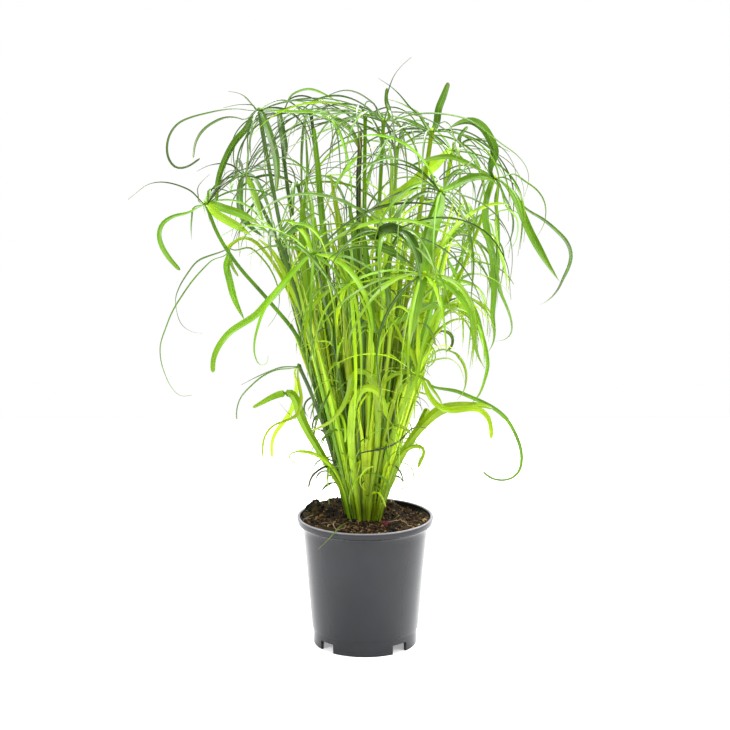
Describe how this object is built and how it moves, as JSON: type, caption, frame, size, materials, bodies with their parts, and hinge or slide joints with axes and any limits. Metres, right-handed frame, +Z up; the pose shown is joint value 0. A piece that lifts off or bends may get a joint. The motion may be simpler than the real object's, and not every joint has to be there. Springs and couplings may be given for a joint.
{
  "type": "potted umbrella sedge",
  "caption": "Potted umbrella sedge: a fan of bare green stems, each topped with a crown of long drooping leaves, in a dark plastic nursery pot.",
  "frame": {"origin": "on the ground under the middle of the pot's foot", "axes": "+Z up along the pot's axis; the plant's front, with its lowest arching leaves, faces -Y"},
  "size_m": [0.4088, 0.3999, 0.5401],
  "materials": {
    "pot": "moulded polypropylene, satin, dark anthracite, with fine scuffs",
    "soil": "moist dark brown peat with reddish bark bits and pale fibres",
    "stem": "smooth waxy green, fine lengthwise ribs, darker at the left of the clump",
    "crown_leaf": "satin green blades with a keeled midrib and pale edges",
    "base_leaf": "satin lime green blades with fine lengthwise veins",
    "dried_leaf": "drying yellow-green thread of a leaf"
  },
  "bodies": {
    "root": {"base_leaf_dried": "dried_leaf", "base_leaf_front_arched": "base_leaf", "base_leaf_front_draped": "base_leaf", "base_leaf_left_folded": "base_leaf", "base_leaf_left_low": "base_leaf", "base_leaf_right_arched": "base_leaf", "base_leaf_right_broad": "base_leaf", "base_leaf_right_hook": "base_leaf", "crown_01": "crown_leaf", "crown_02": "crown_leaf", "crown_03": "crown_leaf", "crown_04": "crown_leaf", "crown_05": "crown_leaf", "crown_06": "crown_leaf", "crown_07": "crown_leaf", "crown_08": "crown_leaf", "crown_09": "crown_leaf", "crown_10": "crown_leaf", "crown_11": "crown_leaf", "crown_12": "crown_leaf", "crown_13": "crown_leaf", "crown_14": "crown_leaf", "crown_15": "crown_leaf", "crown_16": "crown_leaf", "crown_17": "crown_leaf", "crown_18": "crown_leaf", "crown_19": "crown_leaf", "crown_20": "crown_leaf", "crown_21": "crown_leaf", "crown_22": "crown_leaf", "crown_23": "crown_leaf", "crown_24": "crown_leaf", "crown_26": "crown_leaf", "pot": "pot", "soil": "soil", "stem_01": "stem", "stem_02": "stem", "stem_03": "stem", "stem_04": "stem", "stem_05": "stem", "stem_06": "stem", "stem_07": "stem", "stem_08": "stem", "stem_09": "stem", "stem_10": "stem", "stem_11": "stem", "stem_12": "stem", "stem_13": "stem", "stem_14": "stem", "stem_15": "stem", "stem_16": "stem", "stem_17": "stem", "stem_18": "stem", "stem_19": "stem", "stem_20": "stem", "stem_21": "stem", "stem_22": "stem", "stem_23": "stem", "stem_24": "stem", "stem_26": "stem"}
  },
  "joints": []
}
